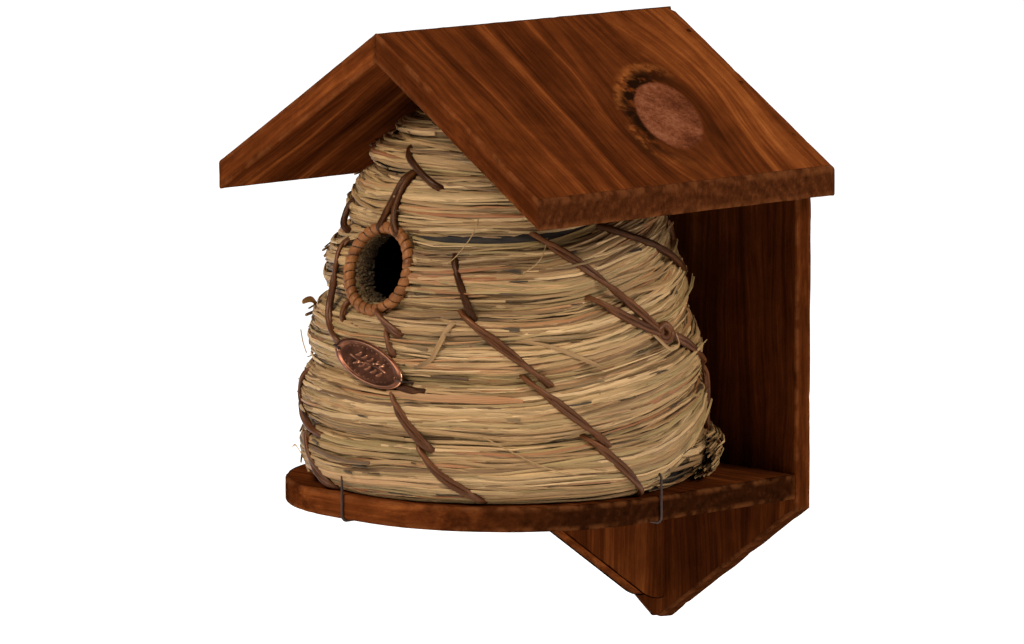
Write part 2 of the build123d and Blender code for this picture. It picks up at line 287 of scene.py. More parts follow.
def timber(name, knots=(), end_light=1.0, tone_and_painted_shade=1.0, lighter=()):
    """Stained timber with growth rings, grain streaks and knots.

    A knot is (along, across, size, stretch, slant, dark), and lighter holds how
    much the tone gains per metre along and across the board. The face colour is
    scaled by one factor over the whole board, for its tone and for painted shade.
    """
    made, tree, principled = material(name, Roughness=0.6, Specular_IOR_Level=0.0)
    place = attribute(tree, "timber", "Vector")
    along, across, deep = axes(tree, place)
    drift = grain_noise(tree, place, 9.0, 2.0, 0.5, (1.0, 3.0, 3.0))
    drawn = across + (drift - 0.5) * 0.016
    knots_seen = []
    for knot_along, knot_across, size, stretch, slant, dark in knots:
        v = (across - knot_across) * (1.0 / size)
        u = (along - knot_along - (across - knot_across) * slant) * (1.0 / (size * stretch))
        reach = (u * u + v * v).math("SQRT")
        swell = (reach * reach * -0.22).math("EXPONENT")
        drawn = drawn - swell * v / (reach + 0.3) * (size * 0.8)
        torn = grain_noise(tree, place, 260.0 if dark else 70.0, 3.0, 0.6)
        reach = reach + (torn - 0.5) * (0.9 if dark else 0.14)
        upper = (v * 0.7 - u + 0.1).step(-0.4, 0.9)
        lower = (u * 0.9 - v * 0.2 - 0.2).step(0.0, 0.7)
        heart = 1.0 - reach.step(0.66, 0.75)
        bark = (1.0 - reach.step(0.88, 1.15)) * reach.step(0.68, 0.74) * (upper * 0.9 + 0.25)
        bark = bark * grain_noise(tree, place, 120.0, 3.0, 0.6).step(0.36, 0.56)
        side = v.step(0.25, 0.9)
        smoke = (1.0 - reach.step(0.9, 1.7)) * (lower * 0.6 + upper * 0.35 + side * 0.55)
        smoke = smoke * grain_noise(tree, place, 60.0, 3.0, 0.6, (0.3, 1.0, 1.0)).step(0.36, 0.62)
        ember = (1.0 - reach.step(1.04, 1.22)) * reach.step(0.84, 0.98) * upper
        ember = ember * grain_noise(tree, place, 85.0, 4.0, 0.7).step(0.44, 0.62)
        knots_seen.append((heart, bark, smoke, ember, reach, dark))
    grain = vector(tree, along, drawn, deep)
    rings = (drawn * drawn + deep * deep).math("POWER", 0.5)
    wave = (rings * 620.0).math("SINE") * 0.5 + 0.5
    fine = grain_noise(tree, grain, 420.0, 5.0, 0.75, (0.045, 1.0, 1.0))
    streak = grain_noise(tree, grain, 95.0, 2.0, 0.6, (0.035, 1.0, 1.0))
    broad = grain_noise(tree, grain, 16.0, 3.0, 0.6, (0.25, 1.6, 1.6))
    blotch = grain_noise(tree, place, 60.0, 4.0, 0.7)
    tone = wave * 0.07 + (fine - 0.5) * 0.75 + (streak - 0.5) * 0.42 + (broad - 0.5) * 0.60
    tone = tone + (blotch - 0.5) * 0.30 + streak.step(0.58, 0.74) * 0.16 + 0.44
    for slope_along, slope_across in lighter:
        tone = tone + along * slope_along + across * slope_across
    face_stain = [
        (0.14, (0.018, 0.0040, 0.0011)), (0.38, (0.062, 0.0135, 0.0029)),
        (0.54, (0.112, 0.0250, 0.0052)), (0.70, (0.195, 0.0490, 0.0100)),
        (0.92, (0.330, 0.0960, 0.0210)),
    ]
    # Face colour scaled over the whole board: tone and painted shade.
    colour = ramp(tree, tone, [(at, tuple(c * tone_and_painted_shade for c in stain)) for at, stain in face_stain])
    for heart, bark, smoke, ember, reach, dark in knots_seen:
        speckle = grain_noise(tree, place, 420.0, 5.0, 0.8)
        cloud = grain_noise(tree, place, 60.0, 2.0, 0.5)
        pink = ramp(
            tree,
            speckle * 0.8 + cloud * 0.55 - reach * 0.12 - 0.10,
            [(0.34, (0.050, 0.0125, 0.005)), (0.52, (0.135, 0.036, 0.0135)), (0.76, (0.27, 0.095, 0.044))],
        )
        core = (0.022, 0.0065, 0.0022) if dark else pink
        colour = blend_colours(tree, smoke * 0.8, colour, (0.016, 0.005, 0.0018))
        colour = blend_colours(tree, ember * 0.75, colour, (0.30, 0.085, 0.018))
        colour = blend_colours(tree, bark * 0.9, colour, (0.012, 0.004, 0.0015))
        colour = blend_colours(tree, heart * 0.88, colour, core)
    sawn = attribute(tree, "sawn")
    end_rings = (rings * 1100.0).math("SINE") * 0.5 + 0.5
    end_tone = end_rings * 0.09 + grain_noise(tree, place, 420.0, 4.0, 0.75) * 0.62 + blotch * 0.30
    end_stain = [
        (0.30, (0.020, 0.0052, 0.0016)), (0.55, (0.060, 0.0155, 0.0042)), (0.80, (0.14, 0.042, 0.0130)),
    ]
    end_colour = ramp(tree, end_tone, [(at, tuple(c * end_light for c in stain)) for at, stain in end_stain])
    colour = blend_colours(tree, sawn, colour, end_colour)
    worn = attribute(tree, "worn") * grain_noise(tree, place, 130.0).step(0.38, 0.62)
    colour = blend_colours(tree, worn * 0.35, colour, (0.20, 0.062, 0.018))
    plug(principled.inputs["Base Color"], colour)
    rough = grain_noise(tree, place, 350.0, 3.0, 0.7, (0.6, 1.0, 1.0))
    height = fine * 0.55 + wave * 0.2 + sawn * rough * 1.3
    bump(tree, principled, height, 0.0006, 0.8)
    plug(principled.inputs["Roughness"], 0.42 + fine * 0.3)
    return made


def resampled(outline, gap):
    """A closed outline with points about one gap apart and its corners kept."""
    points = []
    for start, end in zip(outline, outline[1:] + outline[:1]):
        count = max(1, round((end - start).length / gap))
        points += [start.lerp(end, i / count) for i in range(count)]
    return points


def face_outwards(mesh):
    """Turns a closed mesh's faces to point outwards."""
    loose = bmesh.new()
    loose.from_mesh(mesh)
    bmesh.ops.recalc_face_normals(loose, faces=loose.faces)
    loose.to_mesh(mesh)
    loose.free()


def board(name, outline, thickness, place, timber_of, seed, cad_node, ends, wobble=0.00035):
    """A sawn board: a flat outline with worn, slightly uneven edges.

    place turns (u, v, w) into the house's frame, timber_of turns it into timber
    coordinates, and ends says whether a direction in the outline faces end grain.
    """
    round_off = 0.0011
    points = resampled([Vector(p) for p in outline], 0.003)
    count = len(points)
    normals = []
    for i, point in enumerate(points):
        run = points[(i + 1) % count] - points[i - 1]
        normals.append(Vector((run.y, -run.x)).normalized())
    layers = [(0.0, 1.9), (0.0, 1.0), (0.3, 0.3), (1.0, 0.0)]
    levels = [(round_off * h, round_off * i) for h, i in layers]
    levels += [(thickness * f, 0.0) for f in (0.25, 0.5, 0.75)]
    levels += [(thickness - h, i) for h, i in reversed(levels[:4])]
    grid, worn = [], []
    for level, (w, inset) in enumerate(levels):
        from_face = min(level, len(levels) - 1 - level)
        for point, normal in zip(points, normals):
            ragged = noise.noise(Vector((point.x * 90, point.y * 90, w * 60 + seed * 7.3)))
            nick = max(0.0, noise.noise(Vector((point.x * 260, point.y * 260, w * 90 + seed))) - 0.3)
            edge = 1.0 if from_face > 0 else 0.0
            push = inset + edge * (wobble * (1.0 + ragged) + nick * 0.0012)
            flat = point - normal * push
            grid.append((flat.x, flat.y, w))
            worn.append(1.0 if 1 <= from_face <= 3 else 0.0)
    faces = [tuple(range(count))[::-1]]
    for level in range(len(levels) - 1):
        low, high = level * count, (level + 1) * count
        faces += [
            (low + i, low + (i + 1) % count, high + (i + 1) % count, high + i)
            for i in range(count)
        ]
    faces.append(tuple(range((len(levels) - 1) * count, len(levels) * count)))
    mesh = bpy.data.meshes.new(name)
    mesh.from_pydata([place(*p) for p in grid], [], faces)
    mesh.attributes.new("timber", "FLOAT_VECTOR", "POINT").data.foreach_set(
        "vector", [c for p in grid for c in timber_of(*p)]
    )
    mesh.attributes.new("worn", "FLOAT", "POINT").data.foreach_set("value", worn)
    sawn = mesh.attributes.new("sawn", "FLOAT", "CORNER").data
    for face in mesh.polygons:
        for corner in face.loop_indices:
            index = mesh.loops[corner].vertex_index % count
            side = len(face.vertices) == 4
            sawn[corner].value = ends(normals[index], points[index]) if side else 0.0
    mesh.update()
    face_outwards(mesh)
    piece = link_piece(name, mesh)
    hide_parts(cad_node)
    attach(piece, "root")
    return piece


# Roof: two boards of reddish-brown stained pine, mitred at the ridge and cut
# plumb at the eaves, with their grain running down the slope. The right one
# has a large oval knot, a split knot at its front edge and a worn back corner.
roof_low, roof_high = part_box("roof_panel_right")
roof_pitch = radians(32.0)
roof_thickness = 0.012
roof_depth = roof_high.y - roof_low.y
slope_length = (roof_high.x - roof_low.x) / cos(roof_pitch)
ridge_lap = 0.0008  # the boards run a little into each other, so worn edges leave no gap


def roof_place(side):
    """Board coordinates (down the slope, out from the wall, up) to the house's frame."""

    def place(u, v, w):
        plumb = (w - roof_thickness) / cos(roof_pitch)
        return (side * u * cos(roof_pitch), -v, roof_high.z - u * sin(roof_pitch) + plumb)

    return place


def roof_ends(normal, point):
    """End grain shows at the eave and the ridge."""
    return 1.0 if abs(normal.x) > 0.7 else 0.0


for side, hand, knots, heart in (
    (
        1,
        "right",
        [(0.0805, 0.069, 0.0290, 1.10, 0.476, False), (0.070, 0.200, 0.0052, 1.5, 0.0, True)],
        (0.090, 0.069),
    ),
    (-1, "left", [], (0.130, 0.070)),
):
    corner = 0.004 if side > 0 else 0.0005
    outline = [
        (-ridge_lap, corner), (corner, 0), (slope_length, 0), (slope_length, roof_depth),
        (-ridge_lap, roof_depth),
    ]
    panel = board(
        f"roof_board_{hand}",
        outline,
        roof_thickness,
        roof_place(side),
        lambda u, v, w, h=heart: (u, v - h[0], w + h[1] - 0.02),
        seed=3 + side,
        cad_node=f"roof_panel_{hand}",
        ends=roof_ends,
    )
    knots_here = [(a, b - heart[0], *rest) for a, b, *rest in knots]
    lighter = [(0.0, -0.7)] if side > 0 else []
    panel.data.materials.append(timber(f"roof_timber_{hand}", knots_here, lighter=lighter))

# Back board: one wide board with vertical grain, cut to the roof's gable at the
# top and to a blunt point at the bottom. Behind, it is recessed for the hanger
# plate, with a deeper pocket for the wall screw's head.
back_low, back_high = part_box("back_board")
half_back = back_high.x
board_back = back_high.y - back_low.y
shoulder_z = back_low.z + 0.0645
gable_lap = 0.0010  # the gable runs a little into the roof, so worn edges leave no gap
gable_z = back_high.z + gable_lap - half_back * tan(roof_pitch)
back_outline = [
    (-0.003, back_low.z), (0.003, back_low.z), (half_back, shoulder_z),
    (half_back, gable_z), (0, back_high.z + gable_lap), (-half_back, gable_z), (-half_back, shoulder_z),
]


def back_timber_of(u, v, w):
    """The back board's grain stands upright."""
    return (v + 0.31, u + 0.115, w + 0.03)


back = board(
    "back_plank",
    back_outline,
    board_back,
    lambda u, v, w: (u, -w, v),
    back_timber_of,
    seed=11,
    cad_node="back_board",
    ends=lambda normal, point: 0.0 if abs(normal.x) > 0.95 else 1.0,
)
# The back board's face colour is scaled darker over the whole board, as painted shade from the dome and
# roof.
back.data.materials.append(timber("back_timber", tone_and_painted_shade=0.72))


def slot_block(radius, low, high, front, behind):
    """A closed block with round ends at two heights, for cutting a slot."""
    half_steps = 16
    turns = [pi * i / half_steps for i in range(half_steps + 1)]
    ring = [(radius * cos(t), high + radius * sin(t)) for t in turns]
    ring += [(-radius * cos(t), low - radius * sin(t)) for t in turns]
    count = len(ring)
    mesh = bpy.data.meshes.new("slot_block")
    sides = [(i + count, (i + 1) % count + count, (i + 1) % count, i) for i in range(count)]
    ends = [tuple(range(count)), tuple(range(count, 2 * count))[::-1]]
    mesh.from_pydata([(x, y, z) for y in (front, behind) for x, z in ring], [], sides + ends)
    return link_piece("slot_block", mesh)


def carve(piece, cutter):
    """Cuts a closed block out of a piece and keeps the piece a plain mesh."""
    cut = piece.modifiers.new("carve", "BOOLEAN")
    cut.object, cut.operation = cutter, "DIFFERENCE"
    graph = bpy.context.evaluated_depsgraph_get()
    mesh = bpy.data.meshes.new_from_object(
        piece.evaluated_get(graph), preserve_all_data_layers=True, depsgraph=graph
    )
    piece.modifiers.clear()
    face_outwards(mesh)
    piece.data = mesh
    bpy.data.objects.remove(cutter)


plate_recess = {"radius": 0.00815, "low": -0.004, "high": 0.013, "front": -0.0015, "behind": 0.01}
screw_pocket = {"radius": 0.006, "low": 0.0, "high": 0.009, "front": -0.006, "behind": 0.01}
for hollow in (plate_recess, screw_pocket):
    carve(back, slot_block(**hollow))
back.data.attributes["timber"].data.foreach_set(
    "vector", [c for v in back.data.vertices for c in back_timber_of(v.co.x, v.co.z, -v.co.y)]
)

# Floor: a board of the same stained wood with its grain from side to side, its front
# sawn by hand to a round nose that is fuller on the left.
floor_low, floor_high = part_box("floor_board")
half_floor = floor_high.x
nose = {"right": 0.096, "left": 0.072}
arc_steps = 16
floor_outline = [(-half_floor, floor_high.y), (-half_floor, floor_low.y + nose["left"])]
for step in range(1, arc_steps + 1):
    turn = pi / 2 * step / arc_steps
    floor_outline.append(
        (
            -half_floor + nose["left"] * (1 - cos(turn)),
            floor_low.y + nose["left"] * (1 - sin(turn)),
        )
    )
for step in range(arc_steps + 1):
    turn = pi / 2 * (1 - step / arc_steps)
    floor_outline.append(
        (
            half_floor - nose["right"] * (1 - cos(turn)),
            floor_low.y + nose["right"] * (1 - sin(turn)),
        )
    )
floor_outline.append((half_floor, floor_high.y))
plank = board(
    "floor_plank",
    floor_outline,
    floor_high.z - floor_low.z,
    lambda u, v, w: (u, v, floor_low.z + w),
    lambda u, v, w: (u + 0.7, v + 0.05, w + 0.045),
    seed=23,
    cad_node="floor_board",
    ends=lambda normal, point: min(1.0, max(0.0, abs(normal.x) * 1.6 - 0.5)),
)
# The floor's face colour is scaled a little darker over the whole board, as tone and painted shade.
plank.data.materials.append(timber("floor_timber", end_light=0.40, tone_and_painted_shade=0.92))

# Support fin: a small three-cornered offcut under the floor, its heel rounded.
fin_low, fin_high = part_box("support_fin")
fin_slope = [(fin_high.y, fin_high.z), (fin_high.y, fin_low.z)]
heel_start = Vector((fin_high.y - 0.0012, fin_low.z))
heel_corner = Vector((fin_high.y - 0.0085, fin_low.z))
fin_tip = Vector((fin_low.y, fin_high.z))
for step in range(1, 9):
    share = step / 8
    leave = heel_corner.lerp(fin_tip, 0.075)
    fin_slope.append(
        tuple(heel_start.lerp(heel_corner, share).lerp(heel_corner.lerp(leave, share), share))
    )
fin_slope.append(tuple(fin_tip))
fin = board(
    "fin_offcut",
    fin_slope,
    fin_high.x - fin_low.x,
    lambda u, v, w: (fin_low.x + w, u, v),
    lambda u, v, w: (v + 0.2, u + 0.09, w + 0.02),
    seed=31,
    cad_node="support_fin",
    ends=lambda normal, point: 0.6 if normal.y < -0.3 else 0.0,
)
fin.data.materials.append(timber("fin_timber"))

# Straw: the skep is one long coil of dried sea-grass, shown here row by row. Each
# row is a bundle of flat blades that lie round the dome, over a darker heart of
# packed straw whose near-black colour is painted shade. The coil starts at the
# right rear, where each row climbs to the next.
dome_y = -0.112
outline_points = [
    (0.080, 0.0920), (0.096, 0.0960), (0.125, 0.0957), (0.1425, 0.0938), (0.1565, 0.0911),
    (0.1735, 0.0868), (0.189, 0.0834), (0.206, 0.0768), (0.220, 0.0713), (0.2335, 0.0648),
    (0.2415, 0.0605), (0.249, 0.0535), (0.2545, 0.0460), (0.2595, 0.0330), (0.262, 0.0100),
]
tip_z = cad_low.z
outline_base, outline_span = 0.080, 0.190


def envelope(z):
    """The dome's radius at a height above the back board's tip, in metres."""
    for (z0, r0), (z1, r1) in zip(outline_points, outline_points[1:]):
        if z <= z1:
            return r0 + (r1 - r0) * max(0.0, (z - z0) / (z1 - z0))
    return outline_points[-1][1]


def envelope_wire(tree, z):
    """The same outline as a Float Curve node, read at a height wire."""
    made = node(tree, "ShaderNodeFloatCurve", {"Factor": 1.0, "Value": (z - outline_base) / outline_span})
    curve = made.mapping.curves[0]
    for place, radius in outline_points:
        at = ((place - outline_base) / outline_span, radius * 10)
        if place == outline_points[0][0]:
            curve.points[0].location = at
        elif place == outline_points[-1][0]:
            curve.points[-1].location = at
        else:
            curve.points.new(*at)
    made.mapping.update()
    return out(made) * 0.1


def geometry_tree(name, sockets):
    """A Geometry Nodes tree with named inputs: (name, socket kind, value)."""
    tree = bpy.data.node_groups.new(name, "GeometryNodeTree")
    face = tree.interface
    face.new_socket("Geometry", in_out="OUTPUT", socket_type="NodeSocketGeometry")
    face.new_socket("Geometry", in_out="INPUT", socket_type="NodeSocketGeometry")
    for label, kind, value in sockets:
        made = face.new_socket(label, in_out="INPUT", socket_type=f"NodeSocket{kind}")
        if value is not None:
            made.default_value = value
    enter = tree.nodes.new("NodeGroupInput")
    return tree, {slot.name: Wire(tree, slot) for slot in enter.outputs if slot.name}


def close_tree(tree, geometry, finish):
    """Ends a tree in Realize Instances and Set Material."""
    real = out(node(tree, "GeometryNodeRealizeInstances", {0: geometry}))
    done = node(tree, "GeometryNodeSetMaterial", {0: real, "Material": finish})
    leave = tree.nodes.new("NodeGroupOutput")
    plug(leave.inputs[0], out(done))


def chance(tree, low, high, seed, salt):
    """A random number for each point."""
    made = node(tree, "FunctionNodeRandomValue", {2: low, 3: high, 8: seed + salt})
    return out(made, 1)


def remember(tree, geometry, name, value, kind="FLOAT", domain="POINT"):
    """Stores a named attribute and gives the geometry that holds it."""
    made = node(
        tree,
        "GeometryNodeStoreNamedAttribute",
        {0: geometry, "Name": name, "Value": value},
        data_type=kind,
        domain=domain,
    )
    return out(made)


def recall(tree, name, kind="FLOAT"):
    """Reads a named attribute."""
    return out(node(tree, "GeometryNodeInputNamedAttribute", {0: name}, data_type=kind))


def grow(name, tree, values, start=None):
    """Runs a tree on an empty mesh or a guide curve and gives a plain mesh piece."""
    guide = start or link_piece(f"{name}_guide", bpy.data.meshes.new(f"{name}_guide"))
    modifier = guide.modifiers.new("grow", "NODES")
    modifier.node_group = tree
    for item in tree.interface.items_tree:
        if item.in_out == "INPUT" and item.name in values:
            modifier[item.identifier] = values[item.name]
    graph = bpy.context.evaluated_depsgraph_get()
    grown = guide.evaluated_get(graph)
    mesh = bpy.data.meshes.new_from_object(grown, preserve_all_data_layers=True, depsgraph=graph)
    mesh.name = name
    guide.modifiers.clear()
    bpy.data.objects.remove(guide)
    return link_piece(name, mesh)


def even_noise(tree, place, scale, detail):
    """Noise at a place, the same on every axis."""
    made = node(tree, "ShaderNodeTexNoise", {"Vector": place, "Scale": scale, "Detail": detail})
    return out(made)


def flat_blade(tree, segments):
    """A straw blade one unit long with a lens section and crisp edges."""
    rod = out(node(tree, "GeometryNodeMeshCylinder", {0: 4, 1: segments, 3: 1.0, 4: 1.0}))
    ends = node(tree, "GeometryNodeInputMeshEdgeVertices")
    first, second = (axes(tree, out(ends, i))[2] for i in (2, 3))
    along = (first - second).math("ABSOLUTE").math("GREATER_THAN", 0.001)
    at_end = (first + second).math("ABSOLUTE").math("GREATER_THAN", 0.999)
    crisp = node(
        tree,
        "GeometryNodeSetShadeSmooth",
        {0: rod, 1: along.math("MAXIMUM", at_end), 2: False},
        domain="EDGE",
    )
    place = out(node(tree, "GeometryNodeInputPosition"))
    return remember(tree, out(crisp), "local", place, "FLOAT_VECTOR")


def straw_tree():
    """Blades laid round the dome between two heights, by a rule for each vertex."""
    longest, shortest, usual_radius = 0.135, 0.060, 0.088
    tree, wire = geometry_tree(
        "straw_row",
        [
            ("Straws", "Int", 600), ("Seed", "Int", 1), ("Low", "Float", 0.0),
            ("High", "Float", 0.03), ("Low Rise", "Float", 0.0), ("High Rise", "Float", 0.0),
            ("Rise From", "Float", 40.0), ("Rise To", "Float", 190.0),
            ("Mouth", "Float", 0.0), ("Mouth Height", "Float", 0.189),
            ("Groove", "Float", 0.0060), ("First Turn", "Float", -pi), ("Last Turn", "Float", pi),
            ("Width", "Float", 0.0020), ("Lift", "Float", 0.0), ("Seam", "Float", 0.0),
            ("Depth", "Float", 0.0044), ("First End", "Float", -9.0), ("Last End", "Float", 9.0),
            ("Finish", "Material", None),
        ],
    )
    seed = wire["Seed"]
    points = out(node(tree, "GeometryNodePoints", {"Count": wire["Straws"]}))
    index = out(node(tree, "GeometryNodeInputIndex"))
    share = (index + chance(tree, 0.0, 1.0, seed, 1)) / wire["Straws"]
    turn = share.mix(wire["First Turn"], wire["Last Turn"])
    long_blade = chance(tree, 0.0, 1.0, seed, 3)
    blade_length = (long_blade * long_blade).mix(longest, shortest)
    half_turn = blade_length / (2 * usual_radius)
    turn = turn.math("MAXIMUM", wire["First End"] + half_turn + chance(tree, 0.0, 0.07, seed, 14))
    turn = turn.math("MINIMUM", wire["Last End"] - half_turn - chance(tree, 0.0, 0.10, seed, 15))
    for name, value in (
        ("turn", turn),
        ("rank", chance(tree, 0.0, 1.0, seed, 2)),
        ("length", blade_length),
        (
            "width",
            (chance(tree, 0.45, 1.3, seed, 4) + chance(tree, 0.0, 1.0, seed, 13).step(0.90, 1.0) * 0.9)
            * wire["Width"],
        ),
        # lift also darkens the deeper blades in the straw material, as painted shade.
        ("lift", chance(tree, 0.0, 1.0, seed, 5)),
        ("slant", chance(tree, -1.0, 1.0, seed, 6) * chance(tree, 0.0, 1.0, seed, 7)),
        ("twist", chance(tree, -1.0, 1.0, seed, 8) * chance(tree, 0.0, 1.0, seed, 9)),
        ("tint", chance(tree, 0.0, 1.0, seed, 10)),
        ("flare", chance(tree, 0.0, 1.0, seed, 11).step(0.86, 1.0)),
        ("blunt", chance(tree, 0.0, 1.0, seed, 12).math("GREATER_THAN", 0.55)),
    ):
        points = remember(tree, points, name, value)
    laid = node(
        tree, "GeometryNodeInstanceOnPoints", {0: points, "Instance": flat_blade(tree, 9)}
    )
    real = out(node(tree, "GeometryNodeRealizeInstances", {0: out(laid)}))
    across, deep, along = axes(tree, recall(tree, "local", "FLOAT_VECTOR"))
    length, lift, tint = (recall(tree, n) for n in ("length", "lift", "tint"))
    side_share = along * 2.0
    angle = recall(tree, "turn") + along * length / usual_radius
    flow_at = vector(
        tree, angle.math("SINE") * 2.4, angle.math("COSINE") * 2.4,
        recall(tree, "rank") * 1.6 + wire["Low"] * 40.0,
    )
    flow = even_noise(tree, flow_at, 0.9, 1.0)
    own = even_noise(tree, vector(tree, along * 7.0, tint * 91.0, lift * 57.0), 1.0, 1.0)
    rank = recall(tree, "rank") * 1.02 - 0.01
    rank = rank + (flow - 0.5) * 0.16 + (own - 0.5) * 0.045
    rank = rank + recall(tree, "slant") * along * 0.42
    rank = rank.math("MAXIMUM", 0.015).math("MINIMUM", 0.985)
    degrees = angle * (180.0 / pi)
    climb = degrees.step(40.0, 190.0)
    low = wire["Low"] + degrees.step(wire["Rise From"], wire["Rise To"]) * wire["Low Rise"]
    high = wire["High"] + climb * wire["High Rise"]
    open_seam = degrees.step(8.0, 22.0) * (1.0 - degrees.step(62.0, 90.0)) * wire["Seam"]
    high = high - open_seam
    z = rank.mix(low, high)
    middle = rank * 2.0 - 1.0
    bow = middle.math("ABSOLUTE").math("POWER", 3.0)
    radius = envelope_wire(tree, z) - bow * wire["Groove"]
    slope = (envelope_wire(tree, z + 0.001) - envelope_wire(tree, z - 0.001)) * 500.0
    roll = middle * middle * middle.math("SIGN") * wire["Groove"] * -6.0 / (high - low)
    lean = (slope + roll).math("ARCTANGENT")
    sunk = side_share.math("ABSOLUTE").math("POWER", 5.0)
    radius = radius + (lift - 0.72) * wire["Depth"] - sunk * 0.0013 * lift + wire["Lift"]
    tip_flare = (along + 0.5).math("POWER", 6.0) * recall(tree, "flare") * 0.0055
    radius = radius + tip_flare
    ends = side_share.math("ABSOLUTE")
    pointed = ends.math("POWER", 4.0)
    taper = 1.0 - pointed * recall(tree, "blunt").mix(0.85, 0.25)
    turned = recall(tree, "twist") * 0.7 + along * recall(tree, "slant") * 0.9
    half = recall(tree, "width") * 0.5 * taper
    thick = half * 0.36 + 0.00022
    flat_a, flat_b = across * half, deep * thick
    out_a = flat_a * turned.math("COSINE") - flat_b * turned.math("SINE")
    out_b = flat_a * turned.math("SINE") + flat_b * turned.math("COSINE")
    z_final = z + out_a * lean.math("COSINE") - out_b * lean.math("SINE")
    r_final = radius + out_a * lean.math("SINE") + out_b * lean.math("COSINE")
    side = recall(tree, "turn").math("SIGN")
    drop = z_final - wire["Mouth Height"]
    half_mouth = (wire["Mouth"] * wire["Mouth"] - drop * drop).math("MAXIMUM", 0.0).math("SQRT")
    reach = angle * side * r_final
    spare = (half_mouth - reach).math("MAXIMUM", 0.0) * wire["Mouth"].math("GREATER_THAN", 0.001)
    angle = side * (reach + spare) / r_final
    inward = (1.0 - (spare * (-1.0 / 0.008)).math("EXPONENT")) * 0.008
    r_final = r_final - inward
    place = vector(
        tree, r_final * angle.math("SINE"), dome_y - r_final * angle.math("COSINE"), z_final + tip_z
    )
    moved = out(node(tree, "GeometryNodeSetPosition", {0: real, "Position": place}))
    blade = vector(tree, along * length, across * recall(tree, "width"), tint)
    moved = remember(tree, moved, "blade", blade, "FLOAT_VECTOR")
    close_tree(tree, moved, wire["Finish"])
    return tree


def straw_material(name, dark=1.0):
    """Dried grass: pale tan with green and pink blades and fine veins, darkened as painted shade where the
    lift is low: deep-lying blades and cut ends far back in the neck.
    """
    made, tree, principled = material(name, Roughness=0.5, Specular_IOR_Level=0.30)
    along, across, tint = axes(tree, attribute(tree, "blade", "Vector"))
    veins = even_noise(tree, vector(tree, along * 45.0, across * 3200.0, tint * 300.0), 1.0, 3.0)
    patch = even_noise(tree, vector(tree, along * 38.0, across * 200.0, tint * 77.0), 1.0, 2.0)
    hue = ramp(
        tree,
        tint + (patch - 0.5) * 0.12,
        [
            (0.00, (0.15, 0.070, 0.022)),
            (0.14, (0.29, 0.155, 0.055)),
            (0.34, (0.42, 0.235, 0.090)),
            (0.50, (0.31, 0.198, 0.070)),
            (0.64, (0.47, 0.275, 0.110)),
            (0.80, (0.60, 0.370, 0.165)),
            (0.94, (0.40, 0.185, 0.066)),
            (1.00, (0.27, 0.092, 0.028)),
        ],
    )
    # Painted shade: blades with low lift, lying deep in the coil, are darkened, down to 0.12 of their
    # colour.
    depth = attribute(tree, "lift")
    tone_and_painted_shade = (veins * 1.25 + patch * 0.75 - 0.10) * depth.step(0.15, 0.95).mix(0.12, 1.0) * dark
    grey = node(tree, "ShaderNodeCombineColor", {0: tone_and_painted_shade, 1: tone_and_painted_shade, 2: tone_and_painted_shade})
    colour = blend_colours(tree, 1.0, hue, out(grey), "MULTIPLY")
    speck = patch.step(0.66, 0.74) * 0.35
    colour = blend_colours(tree, speck, colour, (0.16, 0.085, 0.03))
    plug(principled.inputs["Base Color"], colour)
    bump(tree, principled, veins, 0.0004, 0.7)
    return made


straw_finish = straw_material("dried_straw")
rows = [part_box(f"straw_row_{i}") for i in range(1, 7)] + [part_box("straw_crown")]
levels = [low.z - tip_z for low, high in rows] + [rows[-1][1].z - tip_z]
blades_in_row = [1180, 1120, 1180, 1080, 740, 410, 460]
mouth_row, mouth_radius, ring_height = 4, 0.0186, 0.1889
row_maker = straw_tree()
for number in range(1, 8):
    low, high = levels[number - 1], levels[number]
    crown = number == 7
    values = {
        "Straws": blades_in_row[number - 1],
        "Seed": 40 + number,
        "Low": low + (0.0006 if number == 1 else 0.0),
        "High": high + (0.0035 if crown else 0.0),
        "Low Rise": high - low if not crown else 0.0,
        "Rise From": 92.0 if number == 1 else 40.0,
        "Rise To": 140.0 if number == 1 else 190.0,
        "High Rise": levels[number + 1] - high if number < 7 else 0.0,
        "Mouth": mouth_radius if number == mouth_row else 0.0,
        "Seam": 0.0026 if number == mouth_row else 0.0,
        "Mouth Height": ring_height,
        "First Turn": -pi if number > 1 else -radians(222),
        "Last Turn": pi,
        "Finish": straw_finish,
    }
    row = grow(f"straw_coil_{number}", row_maker, values)
    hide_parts("straw_crown" if crown else f"straw_row_{number}")
    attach(row, "root")

# Coil start: at the right rear the coil begins as a cut bundle of the same grass,
# open to view under the row above, which is laced down over it.
start_bundle = grow(
    "straw_coil_start",
    row_maker,
    {
        "Straws": 520, "Seed": 60, "Low": levels[0] + 0.0008, "High": levels[0] + 0.0235,
        "Depth": 0.020, "Lift": 0.0045, "Width": 0.0017,
        "First Turn": radians(140), "Last Turn": radians(176), "First End": radians(138),
        "Last End": radians(215), "Finish": straw_finish,
    },
)
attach(start_bundle, "root")

